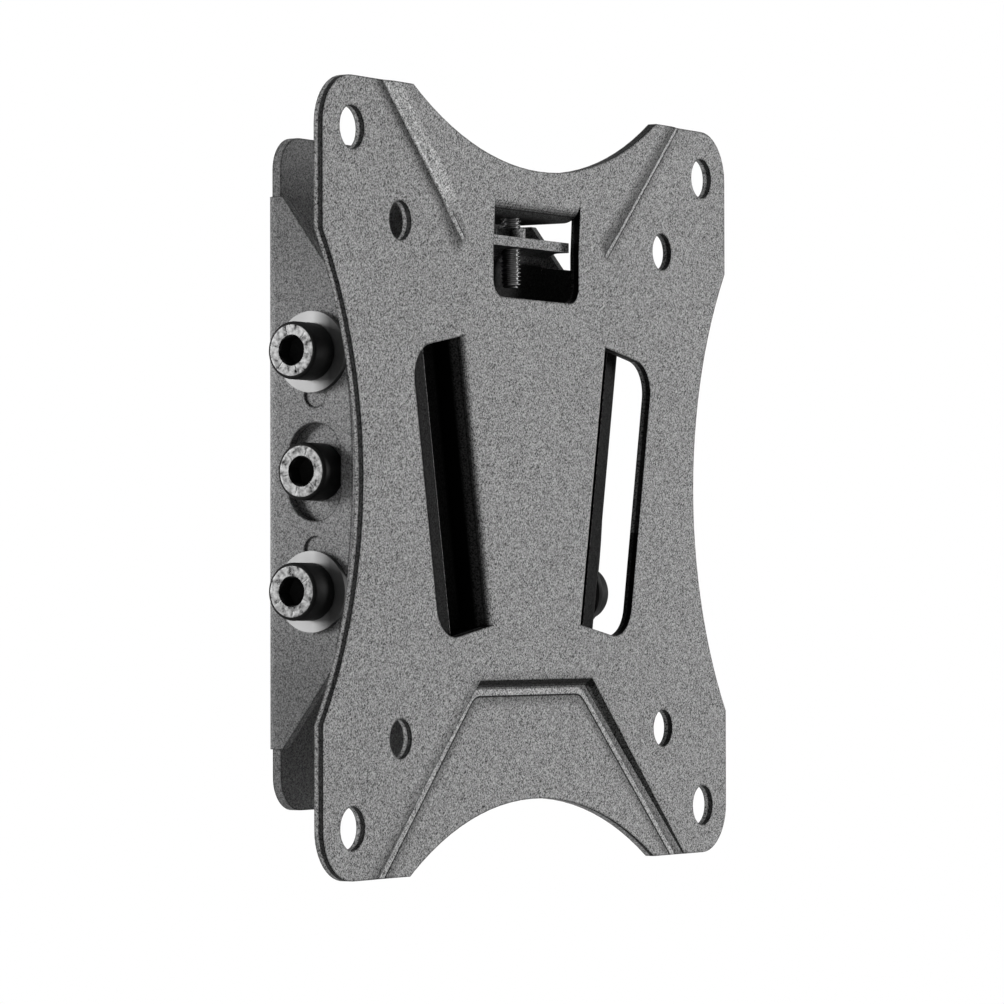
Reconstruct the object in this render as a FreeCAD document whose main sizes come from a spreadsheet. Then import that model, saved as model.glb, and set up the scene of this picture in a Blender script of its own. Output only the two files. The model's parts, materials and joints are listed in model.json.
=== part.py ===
import FreeCAD, Part
import math
import os
import re
import Sketcher

# Tilting wall bracket for a small television, in millimetres.
# X runs to the right seen from the front, Y runs back to the wall, Z runs up.
# The origin is the centre of the wall plate's back face, so the bracket lies at negative Y.

# Driving dimensions
SIZES = {
    # Sheet metal
    "sheet_thick": 1.5,
    "bend_inside": 0.5,

    # Whole bracket: front plate to wall, and how far the front plate's centre hangs below the bracket's
    "wall_distance": 25.3,
    "plate_drop": 1.4,

    # Wall bracket: one folded channel with upper and lower ears
    "wall_half_height": 50,
    "wall_ear_half": 33.5,
    "wall_corner": 5,
    "channel_half": 35.5,
    "flange_half_height": 40.8,
    "flange_nose": 15.6,
    "nose_bow": 120,
    "slant_start": 3.2,
    "slant_lean": 53.3,
    "wall_slot_x": 12,
    "wall_slot_z": 39,
    "wall_slot_long": 14,
    "wall_slot_wide": 5.5,

    # Bolt column in each flange
    "column_depth": 8.9,
    "bolt_pitch": 17.6,
    "bolt_hole": 5.5,
    "head_slot_wide": 9.2,
    "head_slot_long": 14.5,
    "guide_pitch": 11.3,
    "guide_dia": 3.7,
    "guide_stand": 0.8,
    "guide_dent": 0.35,

    # Height adjustment: travel each way and the slider behind each flange
    "height_travel": 2,
    "slider_wide": 10.6,
    "slider_half_height": 26,
    "slot_play": 0.15,
    "running_gap": 0.05,

    # M5 socket screws, washers and nuts
    "bolt_dia": 5,
    "bolt_head_dia": 8.5,
    "bolt_head_high": 5,
    "bolt_long": 10,
    "bolt_socket": 4,
    "bolt_socket_deep": 2.6,
    "bolt_bevel": 0.35,
    "washer_thick": 1,
    "outer_washer_dia": 12,
    "inner_washer_dia": 10,
    "washer_play": 0.15,
    "nut_across": 8,
    "nut_high": 4,

    # Tilt head: yoke with two ears, and the rail plate on its front
    "ear_half_height": 6.5,
    "rail_face": 6.9,
    "rail_lip_face": 3.5,
    "rail_lean": 10,
    "fold_inset": 17.8,
    "lip_gap": 5,
    "rail_outer": 9.4,
    "rail_top": 24,
    "rail_bottom": 26,
    "panel_top": 33.9,
    "panel_half": 21.5,
    "tab_half": 12.6,
    "neck_half": 11.9,
    "tab_top": 37.4,
    "tab_front": 2,
    "tab_bend": 3,
    "notch_high": 1.3,

    # M3 locking screw and the threaded collar it runs in
    "lock_dia": 3,
    "lock_depth": 4.6,
    "lock_long": 12,
    "lock_head_dia": 5.5,
    "lock_head_high": 3,
    "lock_socket": 2.5,
    "collar_dia": 4.4,
    "collar_high": 1.5,

    # Front plate: outline, hole patterns and window
    "plate_half": 57.5,
    "plate_corner": 7.5,
    "waist_radius": 65,
    "waist_top": 47.35,
    "waist_side": 47.2,
    "outer_pattern": 100,
    "outer_hole": 6.3,
    "inner_pattern": 75,
    "inner_hole": 5.8,
    "window_half": 12.2,
    "window_bottom": 27.9,
    "window_corner": 2.5,
    "lock_tab_under": 40.45,
    "lock_tab_nose": 3.1,
    "lock_tab_back": 12,

    # Front plate: inclined slots and the hooks folded back from them
    "slot_half_long": 21.75,
    "slot_wide": 15.3,
    "slot_corner": 5,
    "hook_play": 0.2,
    "hook_side_play": 0.3,

    # Front plate: pressed fields
    "field_half": 15.6,
    "field_top": 30.4,
    "field_deep": 1.1,
    "field_edge_deep": 0.15,
    "field_wall": 1,
    "brow_start": 14.8,
    "brow_low": 35.3,
    "brow_high": 0.6,
    "brow_side_ramp": 2,
    "brow_low_ramp": 13,
}

doc = FreeCAD.newDocument("TiltBracket")
sheet = doc.addObject("Spreadsheet::Sheet", "Sizes")
for row, (name, value) in enumerate(SIZES.items(), 1):
    sheet.set("A%d" % row, name)
    sheet.set("B%d" % row, str(value))
    sheet.setAlias("B%d" % row, name)
doc.recompute()


def ex(text):
    """Point the names in an expression at the sheet's cells."""
    return re.sub(r"[a-z_]+", lambda m: "Sizes." + m.group(0) if m.group(0) in SIZES else m.group(0), text)


def val(text):
    """Give the present number of an expression."""
    answer = sheet.evalExpression(ex(text))
    return float(getattr(answer, "Value", answer))


def bind(thing, **pairs):
    """Bind properties of an object to expressions; a double underscore stands for a point."""
    for prop, text in pairs.items():
        thing.setExpression(prop.replace("__", "."), ex(text))


# Turned frames. Sketches in the XY frame are padded along Z, and so on.
PLAN = FreeCAD.Rotation()
SIDE = FreeCAD.Rotation(FreeCAD.Vector(0, 1, 0), FreeCAD.Vector(0, 0, 1), FreeCAD.Vector(1, 0, 0), "ZXY")
FACE = FreeCAD.Rotation(FreeCAD.Vector(1, 0, 0), FreeCAD.Vector(0, 0, 1), FreeCAD.Vector(0, -1, 0), "ZXY")
ALONG_X = FreeCAD.Rotation(FreeCAD.Vector(0, 1, 0), 90)
AGAINST_X = FreeCAD.Rotation(FreeCAD.Vector(0, 1, 0), -90)
ALONG_Y = FreeCAD.Rotation(FreeCAD.Vector(1, 0, 0), -90)
ALONG_Z = FreeCAD.Rotation()


def place(thing, rotation, x="0", y="0", z="0"):
    """Turn an object and bind its place to expressions."""
    thing.Placement = FreeCAD.Placement(FreeCAD.Vector(val(x), val(y), val(z)), rotation)
    bind(thing, Placement__Base__x=x, Placement__Base__y=y, Placement__Base__z=z)


def cylinder(name, dia, high, rotation, x="0", y="0", z="0"):
    """A round bar whose axis follows the turned Z axis from its place."""
    bar = doc.addObject("Part::Cylinder", name)
    bind(bar, Radius="(%s) / 2" % dia, Height=high)
    place(bar, rotation, x, y, z)
    return bar


def block(name, length, width, high, x, y, z):
    """A box from its low corner."""
    box = doc.addObject("Part::Box", name)
    bind(box, Length=length, Width=width, Height=high)
    place(box, ALONG_Z, x, y, z)
    return box


def hexagon(name, across, high, rotation, x="0", y="0", z="0"):
    """A six-sided bar of a given width across its flats."""
    bar = doc.addObject("Part::Prism", name)
    bar.Polygon = 6
    bind(bar, Circumradius="(%s) / sqrt(3)" % across, Height=high)
    place(bar, rotation, x, y, z)
    return bar


def fuse(name, *things):
    """Join several solids into one."""
    whole = doc.addObject("Part::MultiFuse", name)
    whole.Shapes = list(things)
    whole.Refine = True
    return whole


def cut(name, base, *tools):
    """Take one or more tools away from a solid."""
    tool = tools[0] if len(tools) == 1 else fuse(name + "_tools", *tools)
    rest = doc.addObject("Part::Cut", name)
    rest.Base = base
    rest.Tool = tool
    rest.Refine = True
    return rest


def common(name, first, second):
    """Keep what two solids share."""
    both = doc.addObject("Part::MultiCommon", name)
    both.Shapes = [first, second]
    both.Refine = True
    return both


def mirror(name, source):
    """The same solid on the other side of the YZ plane."""
    other = doc.addObject("Part::Mirroring", name)
    other.Source = source
    other.Normal = FreeCAD.Vector(1, 0, 0)
    return other


def new_sketch(name, rotation, x="0", y="0", z="0"):
    """An empty sketch in a turned frame."""
    sketch = doc.addObject("Sketcher::SketchObject", name)
    place(sketch, rotation, x, y, z)
    return sketch


def pin_point(sketch, edge, end, point):
    """Bind one end of a sketch edge to a pair of expressions."""
    for kind, text in zip(("DistanceX", "DistanceY"), point):
        index = sketch.addConstraint(Sketcher.Constraint(kind, -1, 1, edge, end, val(text)))
        sketch.setExpression("Constraints[%d]" % index, ex(text))


def draw(sketch, corners):
    """Draw a closed outline, anticlockwise. Each corner is (x, y) or (x, y, centre x, centre y).

    The longer form makes the edge that leaves the corner an arc about that centre, the short way round.
    """
    spots = [FreeCAD.Vector(val(c[0]), val(c[1]), 0) for c in corners]
    count = len(corners)
    ends = []
    for i, corner in enumerate(corners):
        start = spots[i]
        end = spots[(i + 1) % count]
        if len(corner) == 2:
            sketch.addGeometry(Part.LineSegment(start, end))
            ends.append((1, 2))
            continue
        centre = FreeCAD.Vector(val(corner[2]), val(corner[3]), 0)
        spoke = start - centre
        turn = spoke.cross(end - centre).z
        forward = turn > -spoke.Length ** 2 / 1000
        first, last = (start, end) if forward else (end, start)
        from_angle = math.atan2(first.y - centre.y, first.x - centre.x)
        to_angle = math.atan2(last.y - centre.y, last.x - centre.x)
        if to_angle < from_angle:
            to_angle += 2 * math.pi
        circle = Part.Circle(centre, FreeCAD.Vector(0, 0, 1), spoke.Length)
        sketch.addGeometry(Part.ArcOfCircle(circle, from_angle, to_angle))
        ends.append((1, 2) if forward else (2, 1))
    for i, corner in enumerate(corners):
        after = (i + 1) % count
        sketch.addConstraint(Sketcher.Constraint("Coincident", i, ends[i][1], after, ends[after][0]))
        pin_point(sketch, i, ends[i][0], corner[:2])
        if len(corner) > 2:
            sideways = abs(spots[i].x - spots[after].x) < abs(spots[i].y - spots[after].y)
            kind, text = ("DistanceX", corner[2]) if sideways else ("DistanceY", corner[3])
            index = sketch.addConstraint(Sketcher.Constraint(kind, -1, 1, i, 3, val(text)))
            sketch.setExpression("Constraints[%d]" % index, ex(text))
    return sketch


def pad(name, sketch, direction, ahead, behind="0"):
    """Extend an outline both ways along a direction."""
    solid = doc.addObject("Part::Extrusion", name)
    solid.Base = sketch
    solid.DirMode = "Custom"
    solid.Dir = FreeCAD.Vector(*direction)
    solid.Solid = True
    bind(solid, LengthFwd=ahead, LengthRev=behind)
    return solid


def prism(name, rotation, corners, ahead, behind="0"):
    """A solid with the given outline, carried both ways along the frame's own Z axis."""
    sketch = draw(new_sketch(name + "_outline", rotation), corners)
    direction = rotation.multVec(FreeCAD.Vector(0, 0, 1))
    return pad(name, sketch, direction, ahead, behind)


def fold(path, hollow="bend_inside", outside="bend_inside + sheet_thick"):
    """Outline of a folded sheet. The path follows one face, with the sheet on its left side.

    Every fold is a right angle, rounded on its hollow side and on its outside.
    """
    spots = [FreeCAD.Vector(val(x), val(y), 0) for x, y in path]
    runs = []
    for first, second in zip(spots, spots[1:]):
        run = second - first
        run.normalize()
        runs.append((round(run.x), round(run.y)))

    def step(point, *moves):
        x, y = point
        for (dx, dy), text in moves:
            x = "%s + (%d) * (%s)" % (x, dx, text)
            y = "%s + (%d) * (%s)" % (y, dy, text)
        return x, y

    def left(run):
        return -run[1], run[0]

    def back(run):
        return -run[0], -run[1]

    near = [path[0]]
    far = [step(path[0], (left(runs[0]), "sheet_thick"))]
    for i in range(1, len(path) - 1):
        before, after = runs[i - 1], runs[i]
        turns_left = before[0] * after[1] - before[1] * after[0] > 0
        near_radius = outside if turns_left else hollow
        far_radius = hollow if turns_left else outside
        inner = step(path[i], (left(before), "sheet_thick"), (left(after), "sheet_thick"))
        centre = step(path[i], (back(before), near_radius), (after, near_radius))
        near.append(step(path[i], (back(before), near_radius)) + centre)
        near.append(step(path[i], (after, near_radius)))
        far.append(step(inner, (back(before), far_radius)))
        far.append(step(inner, (after, far_radius)) + centre)
    near.append(path[-1])
    far.append(step(path[-1], (left(runs[-1]), "sheet_thick")))
    return near + far[::-1]


def obround(name, rotation, long, wide, deep, x, y, z, upright=True):
    """A slot-shaped bar, long way up or across in its own frame, with its place at its centre."""
    rim = "(%s) / 2" % wide
    reach = "((%s) - (%s)) / 2" % (long, wide)
    if upright:
        corners = [(rim, "-" + reach), (rim, reach, "0", reach),
                   ("-" + rim, reach), ("-" + rim, "-" + reach, "0", "-" + reach)]
    else:
        corners = [("-" + reach, "-" + rim), (reach, "-" + rim, reach, "0"),
                   (reach, rim), ("-" + reach, rim, "-" + reach, "0")]
    sketch = draw(new_sketch(name + "_outline", rotation, x, y, z), corners)
    direction = rotation.multVec(FreeCAD.Vector(0, 0, 1))
    return pad(name, sketch, direction, "(%s) / 2" % deep, "(%s) / 2" % deep)


def soften(name, base, radius, axis, spots, bevel=False):
    """Round or bevel the straight edges that run along an axis through the given points."""
    doc.recompute()
    picked = []
    reach = base.Shape.BoundBox.DiagonalLength / 100000
    for index, edge in enumerate(base.Shape.Edges, 1):
        if not isinstance(edge.Curve, Part.Line) or abs(abs(edge.Curve.Direction.dot(axis)) - 1) > 1e-6:
            continue
        for spot in spots:
            gap = edge.Vertexes[0].Point - spot
            if (gap - axis * gap.dot(axis)).Length < reach:
                picked.append((index, val(radius), val(radius)))
    softer = doc.addObject("Part::Chamfer" if bevel else "Part::Fillet", name)
    softer.Base = base
    softer.Edges = picked
    return softer


Y_AXIS = FreeCAD.Vector(0, 1, 0)
parts = []


def keep(thing, label):
    """Name a finished sub-part; its label is the name of its file."""
    thing.Label = label
    parts.append(thing)


def round_x(name, dia, high, side, start, y, z):
    """A round bar along X on one side of the bracket, growing outwards from |X| = start."""
    turn = ALONG_X if side > 0 else AGAINST_X
    return cylinder(name, dia, high, turn, "%d * (%s)" % (side, start), y, z)


def ring_x(name, dia, bore, high, side, start, y, z):
    """A washer on an axis along X."""
    outer = round_x(name + "_disc", dia, high, side, start, y, z)
    inner = round_x(name + "_bore", bore, high, side, start, y, z)
    return cut(name, outer, inner)


COLUMN = "-column_depth"
SIDES = (("left", -1), ("right", 1))
LEVELS = (("top", 1), ("bottom", -1))


def socket_screw(name, side, seat, z):
    """A socket-headed screw whose head rests at |X| = seat and whose shank points inwards."""
    head = round_x(name + "_head", "bolt_head_dia", "bolt_head_high", side, seat, COLUMN, z)
    doc.recompute()
    rims = [(i, val("bolt_bevel"), val("bolt_bevel")) for i, edge in enumerate(head.Shape.Edges, 1)
            if isinstance(edge.Curve, Part.Circle) and abs(edge.Curve.Center.x) > val(seat) + val("bolt_bevel")]
    bevelled = doc.addObject("Part::Chamfer", name + "_bevel")
    bevelled.Base = head
    bevelled.Edges = rims
    shank = round_x(name + "_shank", "bolt_dia", "bolt_long", side, "(%s) - bolt_long" % seat, COLUMN, z)
    turn = ALONG_X if side > 0 else AGAINST_X
    floor = "%d * ((%s) + bolt_head_high - bolt_socket_deep)" % (side, seat)
    socket = hexagon(name + "_socket", "bolt_socket", "bolt_socket_deep", turn, floor, COLUMN, z)
    return cut(name, fuse(name + "_blank", bevelled, shank), socket)


def hex_nut(name, side, start, z):
    """A plain hexagon nut on a screw along X."""
    turn = ALONG_X if side > 0 else AGAINST_X
    low = "%d * (%s)" % (side, start)
    body = hexagon(name + "_body", "nut_across", "nut_high", turn, low, COLUMN, z)
    bore = round_x(name + "_bore", "bolt_dia + 2 * running_gap", "nut_high", side, start, COLUMN, z)
    return cut(name, body, bore)


# Wall bracket: a channel folded from one sheet, with ears that reach above and below its flanges

channel = prism("channel", PLAN, fold([("channel_half", "-flange_nose"), ("channel_half", "0"),
                                       ("-channel_half", "0"), ("-channel_half", "-flange_nose")]),
                "flange_half_height", "flange_half_height")
nose_half = "(flange_half_height - (flange_nose - slant_start) * tan(slant_lean * 1 deg))"
flange_side = prism("flange_side", SIDE,
                    [("-slant_start", "-flange_half_height"), ("sheet_thick", "-flange_half_height"),
                     ("sheet_thick", "flange_half_height"), ("-slant_start", "flange_half_height"),
                     ("-flange_nose", nose_half), ("-flange_nose", "-" + nose_half)],
                    "channel_half", "channel_half")
nose_arc = cylinder("nose_arc", "2 * nose_bow", "2 * channel_half", ALONG_X, "-channel_half", "nose_bow - flange_nose")
trimmed_channel = common("trimmed_channel", common("slanted_channel", channel, flange_side), nose_arc)
ear_sheet = block("ear_sheet", "2 * wall_ear_half", "sheet_thick", "2 * wall_half_height",
                  "-wall_ear_half", "-sheet_thick", "-wall_half_height")
ear_spots = [FreeCAD.Vector(a * val("wall_ear_half"), 0, b * val("wall_half_height")) for a in (-1, 1) for b in (-1, 1)]
ears = soften("ears", ear_sheet, "wall_corner", Y_AXIS, ear_spots)
guides = []
holes = []
for side_name, side in SIDES:
    middle = "%d * (channel_half - sheet_thick / 2)" % side
    holes.append(obround("head_slot_" + side_name, SIDE, "head_slot_long", "head_slot_wide", "2 * sheet_thick",
                         middle, COLUMN, "0"))
    for level_name, level in LEVELS:
        tag = "_%s_%s" % (side_name, level_name)
        bolt_z = "%d * bolt_pitch" % level
        guide_z = "%d * guide_pitch" % level
        holes.append(round_x("bolt_hole" + tag, "bolt_hole", "2 * sheet_thick", side,
                             "channel_half - 3 * sheet_thick / 2", COLUMN, bolt_z))
        guides.append(round_x("guide" + tag, "guide_dia", "guide_stand", side,
                              "channel_half - sheet_thick - guide_stand", COLUMN, guide_z))
        holes.append(round_x("guide_dent" + tag, "guide_dia", "guide_dent", side,
                             "channel_half - guide_dent", COLUMN, guide_z))
        holes.append(obround("wall_slot" + tag, FACE, "wall_slot_long", "wall_slot_wide", "4 * sheet_thick",
                             "%d * wall_slot_x" % side, "0", "%d * wall_slot_z" % level, False))
wall_blank = fuse("wall_blank", trimmed_channel, ears, *guides)
keep(cut("wall_bracket_solid", wall_blank, *holes), "wall_bracket")

# Height screws with their washers and nuts, two in each flange

SLIDER_OUT = "channel_half - sheet_thick"
SLIDER_IN = "channel_half - 2 * sheet_thick"
EAR_OUT = SLIDER_IN + " - washer_thick"
for side_name, side in SIDES:
    for level_name, level in LEVELS:
        tag = "_%s_%s" % (side_name, level_name)
        z = "%d * bolt_pitch" % level
        keep(socket_screw("height_screw_solid" + tag, side, "channel_half + washer_thick", z), "height_screw" + tag)
        keep(ring_x("outer_washer_solid" + tag, "outer_washer_dia", "bolt_dia + 2 * washer_play", "washer_thick",
                    side, "channel_half", COLUMN, z), "outer_washer" + tag)
        keep(ring_x("inner_washer_solid" + tag, "inner_washer_dia", "bolt_dia + 2 * washer_play", "washer_thick",
                    side, EAR_OUT, COLUMN, z), "inner_washer" + tag)
        keep(hex_nut("height_nut_solid" + tag, side, EAR_OUT + " - nut_high", z), "height_nut" + tag)

# Height sliders: one flat strip behind each flange, slotted for the screws and the pressed guides

# The same slot passes a screw and the guide beside it, and leaves both the height travel
SLOT_TOP = "(bolt_pitch + bolt_dia / 2 + slot_play + height_travel)"
SLOT_FOOT = "(guide_pitch - guide_dia / 2 - slot_play - height_travel)"
for side_name, side in SIDES:
    centre_x = "%d * (channel_half - 3 * sheet_thick / 2)" % side
    strip = obround("slider_strip_" + side_name, SIDE, "2 * slider_half_height", "slider_wide", "sheet_thick",
                    centre_x, COLUMN, "0")
    openings = [round_x("pivot_hole_" + side_name, "bolt_dia + 2 * running_gap", "2 * sheet_thick", side,
                        "channel_half - 5 * sheet_thick / 2", COLUMN, "0")]
    for level_name, level in LEVELS:
        openings.append(obround("guide_slot_%s_%s" % (side_name, level_name), SIDE, SLOT_TOP + " - " + SLOT_FOOT,
                                "bolt_dia + 2 * slot_play", "3 * sheet_thick",
                                centre_x, COLUMN, "%d * (%s + %s) / 2" % (level, SLOT_TOP, SLOT_FOOT)))
    keep(cut("height_slider_solid_" + side_name, strip, *openings), "height_slider_" + side_name)

# Tilt yoke: a strap folded into two ears, each on its own pivot screw

RAIL_BACK = "-wall_distance + rail_face + sheet_thick"
yoke_strap = prism("yoke_strap", PLAN, fold([("-(%s)" % EAR_OUT, "-column_depth + ear_half_height"),
                                             ("-(%s)" % EAR_OUT, RAIL_BACK),
                                             (EAR_OUT, RAIL_BACK),
                                             (EAR_OUT, "-column_depth + ear_half_height")]),
                   "ear_half_height", "ear_half_height")
yoke_end = "-column_depth"
yoke_side = prism("yoke_side", SIDE,
                  [(RAIL_BACK, "-ear_half_height"),
                   (yoke_end, "-ear_half_height", yoke_end, "0"),
                   (yoke_end, "ear_half_height"), (RAIL_BACK, "ear_half_height")],
                  "channel_half", "channel_half")
yoke_blank = common("yoke_blank", yoke_strap, yoke_side)
yoke_holes = [round_x("ear_hole_" + side_name, "bolt_dia + 2 * washer_play", "3 * sheet_thick", side,
                      EAR_OUT + " - 2 * sheet_thick", COLUMN, "0") for side_name, side in SIDES]
keep(cut("tilt_yoke_solid", yoke_blank, *yoke_holes), "tilt_yoke")
for side_name, side in SIDES:
    keep(socket_screw("pivot_screw_solid_" + side_name, side, SLIDER_OUT, "0"), "pivot_screw_" + side_name)
    keep(ring_x("friction_washer_solid_" + side_name, "outer_washer_dia", "bolt_dia + 2 * washer_play",
                "washer_thick", side, EAR_OUT, COLUMN, "0"), "friction_washer_" + side_name)
    keep(hex_nut("pivot_nut_solid_" + side_name, side, EAR_OUT + " - sheet_thick - nut_high", "0"),
         "pivot_nut_" + side_name)

# Rail plate: a panel with two inclined C rails that face the front plate's hooks, and a tab on top

PLATE_FRONT = "-wall_distance"
PANEL_FRONT = "-wall_distance + rail_face"
LIP_FRONT = "-wall_distance + rail_lip_face"


# The right-hand rail leans outwards at the top. Across is measured square to its edge from the slant line
# through the plate's centre, and along runs up that line.
LEAN_COS = "cos(rail_lean * 1 deg)"
LEAN_SIN = "sin(rail_lean * 1 deg)"
FOLD_ACROSS = "(channel_half - fold_inset) * %s" % LEAN_COS
FOLD_ALONG = "(channel_half - fold_inset) * %s" % LEAN_SIN


def slanted(name, corners, top, bottom):
    """Carry a section square to the right-hand rail along its lean, between two distances from the foot."""
    sketch = new_sketch(name + "_outline", PLAN, z="-plate_drop")
    sketch.Placement = FreeCAD.Placement(sketch.Placement.Base, FreeCAD.Rotation(Y_AXIS, val("rail_lean")))
    sketch.setExpression("Placement.Rotation.Angle", ex("rail_lean * 1 deg"))
    draw(sketch, corners)
    solid = doc.addObject("Part::Extrusion", name)
    solid.Base = sketch
    solid.DirMode = "Normal"
    solid.Solid = True
    bind(solid, LengthFwd=top, LengthRev="-(%s)" % bottom)
    return solid


rail_edge = FOLD_ACROSS + " + rail_outer"
rail_strip = slanted("rail_strip", fold([(FOLD_ACROSS + " + lip_gap", LIP_FRONT), (rail_edge, LIP_FRONT),
                                         (rail_edge, RAIL_BACK), ("0", RAIL_BACK)]),
                     "rail_top + rail_outer", "-rail_bottom - rail_outer")
rail_height = block("rail_height", "2 * plate_half", "2 * wall_distance", "rail_top + rail_bottom",
                    "0", "-2 * wall_distance", "-rail_bottom - plate_drop")
right_rail = common("right_rail", rail_strip, rail_height)
left_rail = mirror("left_rail", right_rail)


def plate_z(text):
    """Height in the bracket's frame of a height given from the front plate's centre."""
    return "%s - plate_drop" % text


upper_panel = prism("upper_panel", FACE,
                    [("-panel_half", plate_z("rail_top - 2 * sheet_thick")),
                     ("panel_half", plate_z("rail_top - 2 * sheet_thick")),
                     ("panel_half", plate_z("panel_top")), ("-panel_half", plate_z("panel_top"))],
                    "-(%s)" % PANEL_FRONT, RAIL_BACK)
top_tab_sketch = draw(new_sketch("top_tab_outline", SIDE),
                      fold([(RAIL_BACK, plate_z("rail_top")), (RAIL_BACK, plate_z("tab_top")),
                            (PLATE_FRONT + " + tab_front", plate_z("tab_top"))],
                           "tab_bend", "tab_bend + sheet_thick"))
top_tab = pad("top_tab", top_tab_sketch, (1, 0, 0), "tab_half", "tab_half")
notches = [obround("notch_" + side_name, FACE, "2 * (panel_half - neck_half)", "notch_high", "8 * sheet_thick",
                   "%d * panel_half" % side, RAIL_BACK, plate_z("panel_top + notch_high / 2"), False)
           for side_name, side in SIDES]
LOCK_Y = "-wall_distance + lock_depth"
lock_collar = cylinder("lock_collar", "collar_dia", "collar_high + sheet_thick", ALONG_Z,
                       "0", LOCK_Y, plate_z("tab_top - sheet_thick"))
lock_bore = cylinder("lock_bore", "lock_dia + 2 * running_gap", "4 * sheet_thick", ALONG_Z,
                     "0", LOCK_Y, plate_z("tab_top - 2 * sheet_thick"))
rail_blank = fuse("rail_blank", left_rail, right_rail, upper_panel, top_tab, lock_collar)
keep(cut("rail_plate_solid", rail_blank, lock_bore, *notches), "rail_plate")

# Front plate: the face that the screen is screwed to

deep = "sheet_thick + 2 * field_deep"
slab = block("slab", "2 * plate_half", deep, "2 * plate_half", "-plate_half", PLATE_FRONT + " - brow_high",
             plate_z("-plate_half"))
slab_spots = [FreeCAD.Vector(a * val("plate_half"), 0, b * val("plate_half") - val("plate_drop"))
              for a in (-1, 1) for b in (-1, 1)]
rounded_slab = soften("rounded_slab", slab, "plate_corner", Y_AXIS, slab_spots)
waist_deep = "2 * (%s)" % deep
waists = []
for label, x, z in (("top", "0", "waist_top + waist_radius"), ("bottom", "0", "-(waist_top + waist_radius)"),
                    ("left", "-(waist_side + waist_radius)", "0"), ("right", "waist_side + waist_radius", "0")):
    waists.append(cylinder("waist_" + label, "2 * waist_radius", waist_deep, ALONG_Y, x,
                           PLATE_FRONT + " - sheet_thick", plate_z(z)))
outline = cut("plate_outline", rounded_slab, *waists)

# Its form: a flat face with a sunk field at the bottom and a raised brow on top
field_low = "-(plate_half + 3)"
brow_far = "plate_half + 3"
corner_run = "field_wall * tan(22.5 deg)"


def field_corners(half, top):
    """Trapezoid with sides at 45 degrees, open past the plate's lower edge."""
    spread = "(%s) + (%s) - (%s)" % (half, top, field_low)
    return [("-(%s)" % spread, field_low), (spread, field_low), (half, top), ("-(%s)" % half, top)]


def brow_corners(low, shift):
    """Trapezoid with sides at 45 degrees, open past the plate's upper edge."""
    return [("-((%s) - brow_start - (%s))" % (low, shift), low), ("(%s) - brow_start - (%s)" % (low, shift), low),
            ("%s - brow_start - (%s)" % (brow_far, shift), brow_far),
            ("-(%s - brow_start - (%s))" % (brow_far, shift), brow_far)]


def loft(name, *sections):
    """Straight-sided solid between two outlines."""
    solid = doc.addObject("Part::Loft", name)
    solid.Sections = list(sections)
    solid.Solid = True
    solid.Ruled = True
    return solid


def face_form(name, front):
    """A deep block whose front has the pressed form of the plate, with its flat face at the given place."""
    block_deep = "sheet_thick + 4 * field_deep"
    mould = block(name + "_mould", "2 * plate_half + 2", block_deep, "2 * plate_half + 2", "-plate_half - 1", front,
                  plate_z("-plate_half - 1"))
    mouth = draw(new_sketch(name + "_field_mouth", FACE, y=front, z="-plate_drop"),
                 field_corners("field_half + " + corner_run, "-field_top + field_wall"))
    floor = draw(new_sketch(name + "_field_floor", FACE, y=front + " + field_deep", z="-plate_drop"),
                 field_corners("field_half", "-field_top"))
    ramp = prism(name + "_field_ramp", SIDE,
                 [(front + " - 1", plate_z("-plate_half - 3")),
                  (front + " + field_edge_deep", plate_z("-plate_half - 3")),
                  (front + " + field_edge_deep", plate_z("-plate_half")),
                  (front + " + field_deep", plate_z("-field_top")),
                  (front + " + field_deep", plate_z("-field_top + 2 * field_wall")),
                  (front + " - 1", plate_z("-field_top + 2 * field_wall"))],
                 "plate_half + 2", "plate_half + 2")
    field = common(name + "_field", loft(name + "_field_pocket", mouth, floor), ramp)
    foot = draw(new_sketch(name + "_brow_foot", FACE, y=front, z="-plate_drop"), brow_corners("brow_low", "0"))
    crown = draw(new_sketch(name + "_brow_crown", FACE, y=front + " - brow_high", z="-plate_drop"),
                 brow_corners("brow_low + brow_low_ramp", "brow_side_ramp * sqrt(2)"))
    brow = loft(name + "_brow", foot, crown)
    return cut(name, fuse(name + "_block", mould, brow), field)


pressed_sheet = common("pressed_sheet", outline,
                       cut("even_sheet", face_form("front_form", PLATE_FRONT),
                           face_form("back_form", PLATE_FRONT + " + sheet_thick")))

# Holes, window and inclined slots through the pressed sheet
openings = []
for label, pattern, bore in (("outer", "outer_pattern", "outer_hole"), ("inner", "inner_pattern", "inner_hole")):
    for side_name, side in SIDES:
        for level_name, level in LEVELS:
            openings.append(cylinder("%s_hole_%s_%s" % (label, side_name, level_name), bore, "6 * sheet_thick",
                                     ALONG_Y, "%d * %s / 2" % (side, pattern), PLATE_FRONT + " - 3 * sheet_thick",
                                     plate_z("%d * %s / 2" % (level, pattern))))
window_top = "lock_tab_under + lock_tab_nose"
window_bar = block("window_bar", "2 * window_half", "4 * sheet_thick", window_top + " - window_bottom",
                   "-window_half", PLATE_FRONT + " - sheet_thick", plate_z("window_bottom"))
window_spots = [FreeCAD.Vector(a * val("window_half"), 0, val(plate_z("window_bottom"))) for a in (-1, 1)]
openings.append(soften("window", window_bar, "window_corner", Y_AXIS, window_spots))

SLOT_ACROSS = "(%s - bend_inside - sheet_thick)" % FOLD_ACROSS


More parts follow.
